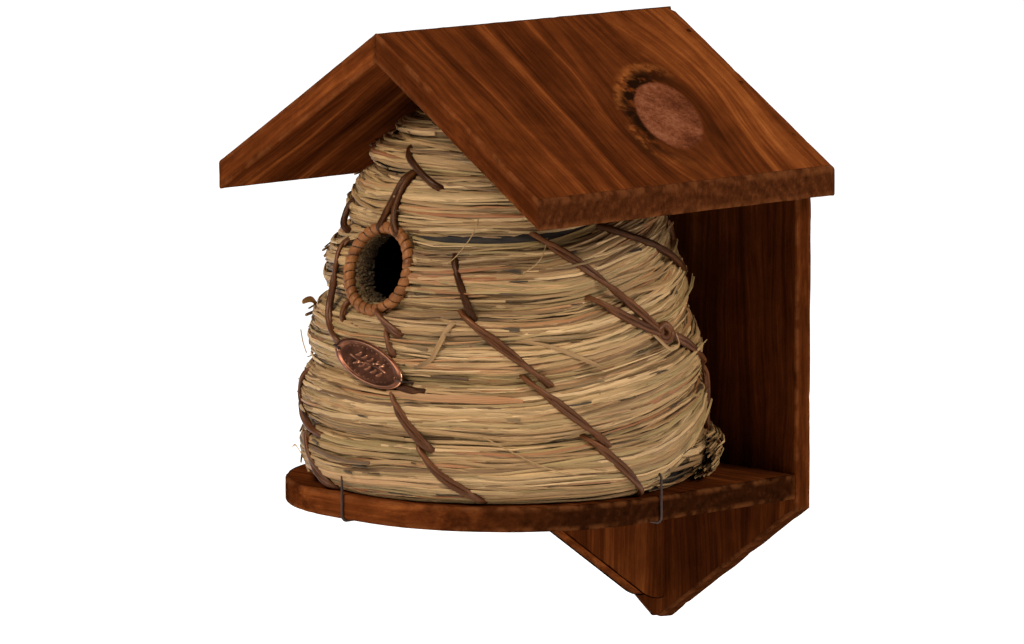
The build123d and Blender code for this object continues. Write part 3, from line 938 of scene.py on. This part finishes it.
# Heart: the imported grass inside the coils, seen only between the blades, its
# near-black colour painted shade. It is one hollow shell, with the entrance cut
# through its front.
heart_painted_shade, heart_tree, heart_shader = material("packed_straw_painted_shade", Roughness=0.9)
heart_noise = grain_noise(heart_tree, own_place(heart_tree), 260.0, 3.0, 0.6, (0.4, 0.4, 3.0))
plug(
    heart_shader.inputs["Base Color"],
    ramp(heart_tree, heart_noise, [(0.3, (0.006, 0.003, 0.0015)), (0.75, (0.030, 0.017, 0.008))]),
)
bump(heart_tree, heart_shader, heart_noise, 0.001)
heart_mesh = bpy.data.meshes.new("straw_heart")
heart_turns, heart_wall = 96, 0.008
heart_levels = [0.0832, 0.096, 0.11, 0.125, 0.14, 0.156, 0.172, 0.189, 0.205, 0.22, 0.233, 0.245, 0.254]
shells = []
for inward in (0.0050, 0.0050 + heart_wall):
    for level, z in enumerate(heart_levels if not shells else heart_levels[::-1]):
        drop = heart_wall * 0.6 if shells and z > 0.25 else 0.0
        ring = []
        for step in range(heart_turns):
            turn = 2 * pi * step / heart_turns
            reach = envelope(z) - inward
            ring.append((reach * sin(turn), dome_y - reach * cos(turn), z - drop + tip_z))
        shells.append(ring)
    shells.append(None)
loops = [ring for ring in shells if ring]
heart_verts = [p for ring in loops for p in ring]
heart_faces = []
for a in range(len(loops)):
    b = (a + 1) % len(loops)
    if (a, b) == (len(heart_levels) - 1, len(heart_levels)):
        continue
    for i in range(heart_turns):
        j = (i + 1) % heart_turns
        heart_faces.append(
            (a * heart_turns + i, a * heart_turns + j, b * heart_turns + j, b * heart_turns + i)
        )
top = len(heart_levels) - 1
heart_faces.append(tuple(range(top * heart_turns, (top + 1) * heart_turns)))
heart_faces.append(tuple(range((top + 1) * heart_turns, (top + 2) * heart_turns))[::-1])
heart_mesh.from_pydata(heart_verts, [], heart_faces)
heart = link_piece("straw_heart", heart_mesh)
heart_mesh.materials.append(heart_painted_shade)


def round_cutter(places, radius, depth, segments):
    """Closed round bars for boring holes, one at each place and turn, as one piece."""
    bars = bmesh.new()
    for place in places:
        bmesh.ops.create_cone(
            bars, cap_ends=True, segments=segments, radius1=radius, radius2=radius, depth=depth,
            matrix=place,
        )
    mesh = bpy.data.meshes.new("round_cutter")
    bars.to_mesh(mesh)
    bars.free()
    return link_piece("round_cutter", mesh)


mouth_place = Matrix.Translation((0, dome_y - 0.08, ring_height + tip_z)) @ Matrix.Rotation(pi / 2, 4, "X")
carve(heart, round_cutter([mouth_place], 0.0176, 0.06, 40))
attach(heart, "root")

# Neck: the entrance is lined with the cut ends of the grass, packed side by side
# and pointing at its middle, behind the ring.
def stub_tree():
    """Short round stubs round a hole, all pointing to its middle."""
    tree, wire = geometry_tree(
        "neck_stubs",
        [
            ("Stubs", "Int", 1500), ("Seed", "Int", 5), ("Hole", "Float", 0.0168),
            ("Front", "Float", -0.1905), ("Depth", "Float", 0.0095), ("Height", "Float", 0.0),
            ("Finish", "Material", None),
        ],
    )
    seed = wire["Seed"]
    points = out(node(tree, "GeometryNodePoints", {"Count": wire["Stubs"]}))
    for name, value in (
        ("spoke", chance(tree, 0.0, 2.0 * pi, seed, 1)),
        ("back", chance(tree, 0.0, 1.0, seed, 2)),
        ("reach", chance(tree, 0.0, 1.0, seed, 3)),
        ("girth", chance(tree, 0.0004, 0.0008, seed, 4)),
        ("tint", chance(tree, 0.0, 1.0, seed, 5)),
        ("bend", chance(tree, -1.0, 1.0, seed, 6)),
    ):
        points = remember(tree, points, name, value)
    rod = out(node(tree, "GeometryNodeMeshCylinder", {0: 6, 1: 2, 3: 1.0, 4: 1.0}))
    rod = out(node(tree, "GeometryNodeSetShadeSmooth", {0: rod, 2: False}))
    rod = remember(
        tree, rod, "local", out(node(tree, "GeometryNodeInputPosition")), "FLOAT_VECTOR"
    )
    laid = node(tree, "GeometryNodeInstanceOnPoints", {0: points, "Instance": rod})
    real = out(node(tree, "GeometryNodeRealizeInstances", {0: out(laid)}))
    across, deep, along = axes(tree, recall(tree, "local", "FLOAT_VECTOR"))
    girth, spoke = recall(tree, "girth"), recall(tree, "spoke")
    inner = wire["Hole"] - recall(tree, "reach") * recall(tree, "back") * 0.0022
    radius = inner + (along + 0.5) * 0.0042
    side = across * girth + recall(tree, "bend") * (0.5 - along) * 0.0016
    u = radius * spoke.math("COSINE") - side * spoke.math("SINE")
    v = radius * spoke.math("SINE") + side * spoke.math("COSINE")
    y = wire["Front"] + v * 0.26 + recall(tree, "back") * wire["Depth"] + deep * girth
    moved = out(
        node(
            tree,
            "GeometryNodeSetPosition",
            {0: real, "Position": vector(tree, u, y, v + wire["Height"])},
        )
    )
    blade = vector(tree, along * 0.006, across * 0.002, recall(tree, "tint"))
    moved = remember(tree, moved, "blade", blade, "FLOAT_VECTOR")
    # Painted shade: stubs further back in the neck get a lower lift, so the straw material darkens them.
    moved = remember(tree, moved, "lift", (1.0 - recall(tree, "back")) * 0.42 + 0.10)
    close_tree(tree, moved, wire["Finish"])
    return tree


neck = grow(
    "neck_straw_ends",
    stub_tree(),
    {"Height": ring_height + tip_z, "Front": -0.1905, "Finish": straw_finish},
)
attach(neck, "root")

# Vines: split willow shoots, dark and shiny, that lace each coil to the one
# below. Most stitches are two shoots side by side, loosely twisted. Both ends of
# a stitch go in between the blades.
def vine_tree():
    """One or two shoots along each guide curve, lying on the straw."""
    tree, wire = geometry_tree(
        "vine_lacing",
        [
            ("Radius", "Float", 0.00115), ("Gap", "Float", 0.0), ("Twist", "Float", 60.0),
            ("Finish", "Material", None),
        ],
    )
    guide = node(
        tree, "GeometryNodeResampleCurve", {0: wire["Geometry"], 3: 0.0016}, mode="LENGTH"
    )
    place = out(node(tree, "GeometryNodeInputPosition"))
    x, y, _ = axes(tree, place)
    outward = vector(tree, x, y - dome_y, 0.02)
    outward = out(node(tree, "ShaderNodeVectorMath", {0: outward}, operation="NORMALIZE"))
    tangent = out(node(tree, "GeometryNodeInputTangent"))
    beside = out(
        node(tree, "ShaderNodeVectorMath", {0: tangent, 1: outward}, operation="CROSS_PRODUCT")
    )
    run = out(node(tree, "GeometryNodeSplineParameter"), "Length")
    rough = grain_noise(tree, place, 120.0, 2.0)
    turn = run * wire["Twist"] + rough * 2.0
    profile = out(node(tree, "GeometryNodeCurvePrimitiveCircle", {0: 8, 4: 1.0}))
    corner = out(node(tree, "GeometryNodeInputIndex")) / 8.0
    profile = remember(tree, profile, "round", corner)
    shoots = tree.nodes.new("GeometryNodeJoinGeometry")
    for side in (-1.0, 1.0):
        sway = turn.math("COSINE") * wire["Gap"] * side
        rise = turn.math("SINE") * wire["Gap"] * side * 0.45
        shift = []
        for axis, amount in ((beside, sway), (outward, rise)):
            scaled = node(
                tree, "ShaderNodeVectorMath", {0: axis, "Scale": amount}, operation="SCALE"
            )
            shift.append(out(scaled))
        offset = node(tree, "ShaderNodeVectorMath", {0: shift[0], 1: shift[1]})
        moved = out(node(tree, "GeometryNodeSetPosition", {0: out(guide), "Offset": out(offset)}))
        moved = remember(tree, moved, "run", run + side * 0.4)
        thick = wire["Radius"] * (rough * 0.5 + 0.75)
        tube = node(
            tree,
            "GeometryNodeCurveToMesh",
            {"Curve": moved, "Profile Curve": profile, "Scale": thick, "Fill Caps": True},
        )
        tree.links.new(tube.outputs[0], shoots.inputs[0])
    close_tree(tree, out(shoots), wire["Finish"])
    return tree


def shoot_material(name, stops, roughness=0.42):
    """Smooth bark with lengthwise streaks, from the run and round attributes."""
    made, tree, principled = material(
        name, Roughness=roughness, Specular_IOR_Level=0.45, Specular_Tint=(1.0, 0.62, 0.40, 1)
    )
    run = attribute(tree, "run")
    swing = attribute(tree, "round") * 2.0 * pi
    at = vector(tree, run * 60.0, swing.math("SINE") * 1.6, swing.math("COSINE") * 1.6)
    streak = even_noise(tree, at, 1.4, 4.0)
    patch = even_noise(tree, at, 0.35, 2.0)
    plug(principled.inputs["Base Color"], ramp(tree, streak * 0.7 + patch * 0.5 - 0.1, stops))
    bump(tree, principled, streak, 0.0004, 0.6)
    return made


vine_finish = shoot_material(
    "willow_shoot",
    [(0.30, (0.020, 0.0052, 0.0014)), (0.50, (0.075, 0.021, 0.0055)), (0.72, (0.18, 0.060, 0.017))],
)


def on_dome(turn, height, lift):
    """A point over the straw: turn in degrees from the front, height and lift in mm."""
    reach = envelope(height / 1000) + lift / 1000
    angle = radians(turn)
    return Vector((reach * sin(angle), dome_y - reach * cos(angle), height / 1000 + tip_z))


def past(end, inner):
    """A spot just past a stitch's end, where it goes under the straw."""
    return tuple(e + (e - i) * 0.10 for e, i in zip(end, inner))


def guide_curve(name, stitches):
    """Guide splines for a list of stitches; each dives into the straw at both ends."""
    data = bpy.data.curves.new(name, "CURVE")
    data.dimensions = "3D"
    data.resolution_u = 8
    for stitch in stitches:
        first, last = stitch[0], stitch[-1]
        route = [on_dome(*past(first, stitch[1]), -4.5), on_dome(*first, -0.5)]
        for (t0, h0), (t1, h1) in zip(stitch, stitch[1:]):
            for share in (0.22, 0.5, 0.78):
                route.append(on_dome(t0 + (t1 - t0) * share, h0 + (h1 - h0) * share, 1.5))
        route += [on_dome(*last, -0.5), on_dome(*past(last, stitch[-2]), -4.5)]
        spline = data.splines.new("NURBS")
        spline.points.add(len(route) - 1)
        for point, place in zip(spline.points, route):
            point.co = (*place, 1.0)
        spline.order_u = 3
        spline.use_endpoint_u = True
    piece = bpy.data.objects.new(name, data)
    scene.collection.objects.link(piece)
    return piece


single_stitches = [
    [(-3, 243), (21, 227)], [(21, 253), (27, 246)], [(30, 196), (37, 170)],
    [(14.5, 137.5), (23, 135)], [(87, 208), (112, 196), (136, 178)],
    [(-32, 216), (-29, 203)], [(-3, 206), (0, 218), (3, 232)], [(8, 204), (3, 213), (4, 231)],
]
double_stitches = [
    [(34, 171), (47, 156), (60, 139)], [(53, 142), (66, 125), (78, 108)],
    [(71, 113), (82, 98), (91, 84)], [(9, 163), (13, 150)],
    [(13, 135), (18, 121), (26, 108)], [(22, 110), (28, 97), (40, 85)],
    [(-23, 199), (-21, 181), (-20, 164), (-10, 152)], [(-34, 135), (-40, 119), (-19, 107)],
    [(-28, 108), (-25, 95), (-14, 84)], [(58, 207), (69, 197), (79, 186), (91, 171), (102, 157)],
    [(104, 158), (120, 147), (136, 135)], [(136, 136), (134, 119), (137, 99)],
    [(76, 177), (86, 168), (102, 156)],
    [(4, 171), (8, 166), (15, 160)], [(-10, 173), (-11, 163)],
    [(98, 160), (102, 163), (106, 158), (102, 154), (98, 157), (101, 162)],
]
row_tops = [round(1000 * level) for level in levels]
first_back_stitch, last_back_stitch, stitch_gap, row_stagger = 168, 300, 47, 24
for row_number in range(5):
    for stitch_number in range(4):
        start = first_back_stitch + stitch_gap * stitch_number - row_stagger * row_number % stitch_gap
        if start < last_back_stitch:
            double_stitches.append(
                [
                    (start, row_tops[row_number + 1]),
                    (start + 9, (row_tops[row_number] + row_tops[row_number + 1]) / 2),
                    (start + 20, row_tops[row_number] + 3),
                ]
            )
vine_maker = vine_tree()
for name, stitches, gap, radius in (
    ("vine_single", single_stitches, 0.0, 0.0018),
    ("vine_double", double_stitches, 0.00112, 0.00125),
):
    vine = grow(
        name,
        vine_maker,
        {"Gap": gap, "Radius": radius, "Twist": 75.0, "Finish": vine_finish},
        guide_curve(f"{name}_guide", stitches),
    )
    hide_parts(*(["ring_ties"] if gap == 0.0 else [f"vine_lacing_{i}" for i in range(1, 7)]))
    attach(vine, "root")

# Strays: loose or folded blades and hairs of the same grass, caught in the coils at
# one end or both and standing off them. Each is (width, tint, route over the dome).
stray_blades = [
    (0.0024, 0.12, [(32, 168, 0.4), (30, 165, 2.0), (27, 155, 2.6), (25, 150, 1.4), (20, 146, 0.2)]),
    (0.0030, 0.62, [(-52, 160, -1), (-44, 166, 2.0), (-38, 168, 5.0), (-33, 168, 9.0)]),
    (0.0016, 0.30, [(96, 160, 0.2), (98, 155, 3.0), (101, 151, 4.4), (106, 152, 4.0), (107, 157, 2.4)]),
    (0.0005, 0.40, [(38, 218, 0.2), (36, 208, 2.2), (31, 198, 1.8), (26, 192, 0.2)]),
    (0.0005, 0.40, [(62, 206, 0.4), (58, 196, 3.0), (50, 188, 1.0)]),
    (0.0006, 0.30, [(40, 116, 0.4), (58, 101, 2.6), (72, 95, 1.0)]),
    (0.0020, 0.14, [(50, 160, 0.2), (60, 157, 1.4), (68, 152, 1.8), (76, 146, 0.2)]),
    (0.0036, 0.95, [(12, 134, 1.6), (24, 133, 2.0), (38, 133, 2.0), (52, 132, 1.2)]),
    (0.0009, 0.72, [(-36, 92, 1.0), (-41, 97, 3.4), (-45, 95, 5.5)]),
    (0.0018, 0.62, [(-40, 142, 0.4), (-46, 146, 3.0), (-52, 150, 6.0)]),
]
stray_steps = 18
stray_verts, stray_faces, stray_marks = [], [], []
for width, tint, route in stray_blades:
    stops = [on_dome(*spot) for spot in route]
    spine = []
    for step in range(stray_steps + 1):
        place = step / stray_steps * (len(stops) - 1)
        i = min(int(place), len(stops) - 2)
        before, after = stops[max(i - 1, 0)], stops[min(i + 2, len(stops) - 1)]
        share = place - i
        a, b = stops[i], stops[i + 1]
        spine.append(
            0.5
            * (
                2 * a
                + (b - before) * share
                + (2 * before - 5 * a + 4 * b - after) * share**2
                + (3 * a - before - 3 * b + after) * share**3
            )
        )
    first = len(stray_verts)
    for step, point in enumerate(spine):
        run = (spine[min(step + 1, stray_steps)] - spine[max(step - 1, 0)]).normalized()
        out_way = Vector((point.x, point.y - dome_y, 0.0)).normalized()
        side_way = run.cross(out_way).normalized()
        out_way = side_way.cross(run)
        taper = 1.0 - (abs(2 * step / stray_steps - 1)) ** 6 * 0.5
        for a, b in ((1, 0), (0, 1), (-1, 0), (0, -1)):
            edge = side_way * (a * width / 2 * taper) + out_way * (b * (0.00018 + width * 0.06))
            stray_verts.append(point + edge)
            stray_marks.append((step / stray_steps * 0.04, a * width / 2, tint))
    for step in range(stray_steps):
        low_ring = first + 4 * step
        for k in range(4):
            m = (k + 1) % 4
            stray_faces.append((low_ring + k, low_ring + m, low_ring + 4 + m, low_ring + 4 + k))
    stray_faces += [
        tuple(first + k for k in (3, 2, 1, 0)),
        tuple(first + 4 * stray_steps + k for k in range(4)),
    ]
stray_mesh = bpy.data.meshes.new("straw_strays")
stray_mesh.from_pydata(stray_verts, [], stray_faces)
stray_mesh.attributes.new("blade", "FLOAT_VECTOR", "POINT").data.foreach_set(
    "vector", [c for mark in stray_marks for c in mark]
)
# Strays stand clear of the coil: full lift, so no painted shade.
stray_mesh.attributes.new("lift", "FLOAT", "POINT").data.foreach_set("value", [1.0] * len(stray_verts))
stray_mesh.materials.append(straw_finish)
face_outwards(stray_mesh)
strays = link_piece("straw_strays", stray_mesh)
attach(strays, "root")

# Entrance ring: a cane hoop bound with a flat strip of cane, wound on tightly, and
# laid against the straw round the entrance. It leans back as the dome does.
ring_lean = radians(16.1)
ring_centre = Vector((0.0, -0.1926, ring_height + tip_z))
ring_axis = Vector((0.0, -cos(ring_lean), sin(ring_lean)))
ring_up = Vector((0.0, sin(ring_lean), cos(ring_lean)))
ring_radius, binding_turns = 0.0198, 29


def binding_tree():
    """A flat strip wound round the hoop: each vertex is placed by its winding angle."""
    tree, wire = geometry_tree(
        "cane_binding",
        [("Turns", "Float", 29.0), ("Width", "Float", 0.0041), ("Finish", "Material", None)],
    )
    rod = out(node(tree, "GeometryNodeMeshCylinder", {0: 8, 1: 460, 3: 1.0, 4: 1.0}))
    across, deep, along = axes(tree, out(node(tree, "GeometryNodeInputPosition")))
    share = along * 0.994 + 0.5
    wander = even_noise(tree, vector(tree, share * 60.0, 3.0, 8.0), 1.0, 1.0)
    around = share * (2.0 * pi) + across * wire["Width"] * (wander * 0.5 + 0.70) * (0.5 / ring_radius)
    around = around + (wander - 0.5) * 0.05 + radians(-60)
    wound = share * wire["Turns"] * (-2.0 * pi)
    thick = deep * 0.00055 + 0.00235 + (wander - 0.5) * 0.0005
    reach = wound.math("COSINE") * thick + ring_radius
    side = reach * around.math("COSINE")
    rise = reach * around.math("SINE")
    proud = wound.math("SINE") * thick
    spots = []
    for start, out_part, up_part in zip(ring_centre, ring_axis, ring_up):
        spots.append(proud * out_part + rise * up_part + start)
    spots[0] = side + spots[0]
    moved = out(node(tree, "GeometryNodeSetPosition", {0: rod, "Position": vector(tree, *spots)}))
    moved = remember(tree, moved, "run", share * 3.0)
    moved = remember(tree, moved, "round", across * 0.5)
    close_tree(tree, moved, wire["Finish"])
    return tree


cane_finish = shoot_material(
    "bound_cane",
    [(0.25, (0.09, 0.026, 0.0065)), (0.50, (0.21, 0.070, 0.018)), (0.75, (0.34, 0.135, 0.040))],
    0.5,
)
binding = grow(
    "cane_strip",
    binding_tree(),
    {"Turns": float(binding_turns), "Width": 0.0041, "Finish": cane_finish},
)
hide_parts("entrance_ring_binding")
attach(binding, "root")
# The hoop shows only in the gaps of the binding; its near-black colour is painted shade there.
hoop_finish, hoop_tree, hoop_shader = material("hoop_painted_shade", Roughness=0.8)
hoop_fibre = grain_noise(hoop_tree, own_place(hoop_tree), 700.0)
hoop_stops = [(0.3, (0.020, 0.009, 0.004)), (0.7, (0.07, 0.03, 0.012))]
plug(hoop_shader.inputs["Base Color"], ramp(hoop_tree, hoop_fibre, hoop_stops))


def refinish(node_name, finish):
    """Gives a carried CAD node its finished material."""
    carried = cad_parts[node_name]
    carried.data.materials.clear()
    carried.data.materials.append(finish)


refinish("entrance_ring_core", hoop_finish)

# Tag: a pressed copper oval with a raised rim, a border of beads and a leaf
# sprig, browned with age and bright where it is rubbed. A wire holds each end.
tag_low, tag_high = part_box("oval_tag")
tag_turn, tag_lean, tag_roll = radians(4.5), radians(10.1), radians(16.0)
tag_half = Vector((0.023, 0.0092))
tag_out = Vector((sin(tag_turn), -cos(tag_turn), 0)) * cos(tag_lean)
tag_out.z = sin(tag_lean)
tag_level = Vector((cos(tag_turn), sin(tag_turn), 0))
tag_rise = tag_out.cross(tag_level)
tag_along = tag_level * cos(tag_roll) - tag_rise * sin(tag_roll)
tag_across = tag_out.cross(tag_along)
tag_centre = (tag_low + tag_high) / 2
leaf_tilt = 0.62
leaves = [(x, side * 0.0021) for x in (-0.0085, -0.0045, -0.0005, 0.0035, 0.0075) for side in (1, -1)]


def tag_relief(x, y):
    """Height of the pressed design over the plate, in metres."""
    share = math.hypot(x / tag_half.x, y / tag_half.y)
    edge = (1.0 - share) * tag_half.y
    rim = 0.00085 * math.exp(-(((edge - 0.0010) / 0.00062) ** 2))
    height = rim - 0.0003 * min(1.0, max(0.0, (share - 0.97) / 0.03))
    stem = abs(y - 0.0006 * sin(x * 260))
    if abs(x) < 0.0125:
        height = max(height, 0.00035 * max(0.0, 1.0 - (stem / 0.00042) ** 2))
    for leaf_x, leaf_y in leaves:
        du, dv = x - leaf_x - 0.0012, y - leaf_y
        u = du * cos(leaf_tilt) + dv * sin(leaf_tilt)
        v = -du * sin(leaf_tilt) + dv * cos(leaf_tilt)
        inside = 1.0 - (u / 0.0021) ** 2 - (v / 0.00075) ** 2
        if inside > 0:
            height = max(height, 0.0005 * inside**0.5)
    for bead in range(34):
        turn = 2 * pi * (bead + 0.5) / 34
        if abs(cos(turn)) < 0.86:
            bx, by = tag_half.x * 0.76 * cos(turn), tag_half.y * 0.70 * sin(turn)
            near = math.hypot(x - bx, y - by) / 0.00045
            if near < 1:
                height = max(height, 0.0003 * (1 - near * near) ** 0.5)
    return height


tag_rings, tag_spokes = 44, 176
tag_verts, tag_faces = [], []


def tag_point(x, y, height):
    """A point over the tag's middle plane, in the house's frame."""
    return tag_centre + tag_along * x + tag_across * y + tag_out * (height + 0.0003)


for side in (1, -1):
    tag_verts.append(tag_point(0, 0, tag_relief(0, 0) if side > 0 else -0.0008))
    for ring in range(1, tag_rings + 1):
        share = ring / tag_rings
        for spoke in range(tag_spokes):
            turn = 2 * pi * spoke / tag_spokes
            x, y = tag_half.x * share * cos(turn), tag_half.y * share * sin(turn)
            height = tag_relief(x, y) if side > 0 else tag_relief(x, y) * 0.3 - 0.0008
            tag_verts.append(tag_point(x, y, height))
sheet = 1 + tag_rings * tag_spokes
for base, flip in ((0, 1), (sheet, -1)):
    for i in range(tag_spokes):
        j = (i + 1) % tag_spokes
        tag_faces.append((base, base + 1 + i, base + 1 + j)[::flip])
        for ring in range(tag_rings - 1):
            a = base + 1 + ring * tag_spokes
            b = a + tag_spokes
            tag_faces.append((a + i, b + i, b + j, a + j)[::flip])
rim_start = 1 + (tag_rings - 1) * tag_spokes
for i in range(tag_spokes):
    j = (i + 1) % tag_spokes
    a, b = rim_start + i, rim_start + j
    tag_faces.append((a, a + sheet, b + sheet, b))
plate_mesh = bpy.data.meshes.new("copper_tag")
plate_mesh.from_pydata(tag_verts, [], tag_faces)
plate = link_piece("copper_tag", plate_mesh)
hole_turn = tag_out.to_track_quat("Z", "Y").to_matrix().to_4x4()
holes = [
    Matrix.Translation(tag_centre + tag_along * (side * 0.0196)) @ hole_turn for side in (-1, 1)
]
carve(plate, round_cutter(holes, 0.00095, 0.006, 20))
plate.data.shade_smooth()
copper, copper_tree, copper_shader = material("aged_copper", Metallic=1.0)
tarnish = grain_noise(copper_tree, own_place(copper_tree), 160.0, 4.0, 0.6)
edges = out(node(copper_tree, "ShaderNodeNewGeometry"), "Pointiness")
rubbed = edges.step(0.515, 0.56)
aged = ramp(
    copper_tree,
    tarnish,
    [(0.3, (0.075, 0.028, 0.016)), (0.55, (0.15, 0.055, 0.029)), (0.75, (0.26, 0.100, 0.052))],
)
plug(copper_shader.inputs["Base Color"], blend_colours(copper_tree, rubbed, aged, (0.85, 0.38, 0.19)))
plug(copper_shader.inputs["Roughness"], 0.40 - rubbed * 0.14 + (tarnish - 0.5) * 0.2)
bump(copper_tree, copper_shader, tarnish, 0.0001, 0.5)
plate.data.materials.clear()
plate.data.materials.append(copper)
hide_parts("oval_tag")
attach(plate, "root")


# Wires: short bent lengths of dark annealed wire. One at each end ties the tag to
# the straw, and others tie the skep's lowest row to its floor.
def metal(name, stops, roughness, metallic=1.0, scale=500.0):
    """Plain metal with a mottled tone and roughness."""
    made, tree, principled = material(name, Metallic=metallic)
    mottle = grain_noise(tree, own_place(tree), scale, 3.0, 0.6)
    plug(principled.inputs["Base Color"], ramp(tree, mottle, stops))
    plug(principled.inputs["Roughness"], (mottle - 0.5) * 0.3 + roughness)
    bump(tree, principled, mottle, 0.0002, 0.4)
    return made


dark_wire = metal("dark_wire", [(0.3, (0.016, 0.007, 0.004)), (0.7, (0.06, 0.026, 0.014))], 0.55, 0.4)
refinish("tag_wires", dark_wire)
refinish("floor_tie_wires", dark_wire)

# Hanger: a zinc plate with a keyhole, let into the rear face of the back board
# under the gable and held by two screws.
zinc = metal("zinc_plate", [(0.3, (0.30, 0.31, 0.32)), (0.7, (0.52, 0.53, 0.54))], 0.5, 0.6, 260.0)
refinish("hanger_plate", zinc)
refinish("hanger_screws", zinc)

# Brads: small dark steel nails. They hold the roof boards to the back board's
# gable, and the floor and the fin to the back board.
nail_steel = metal("brad_steel", [(0.3, (0.02, 0.012, 0.009)), (0.7, (0.09, 0.06, 0.045))], 0.55, 0.7)
for group in ("roof_brads", "floor_brads", "fin_brads"):
    refinish(group, nail_steel)

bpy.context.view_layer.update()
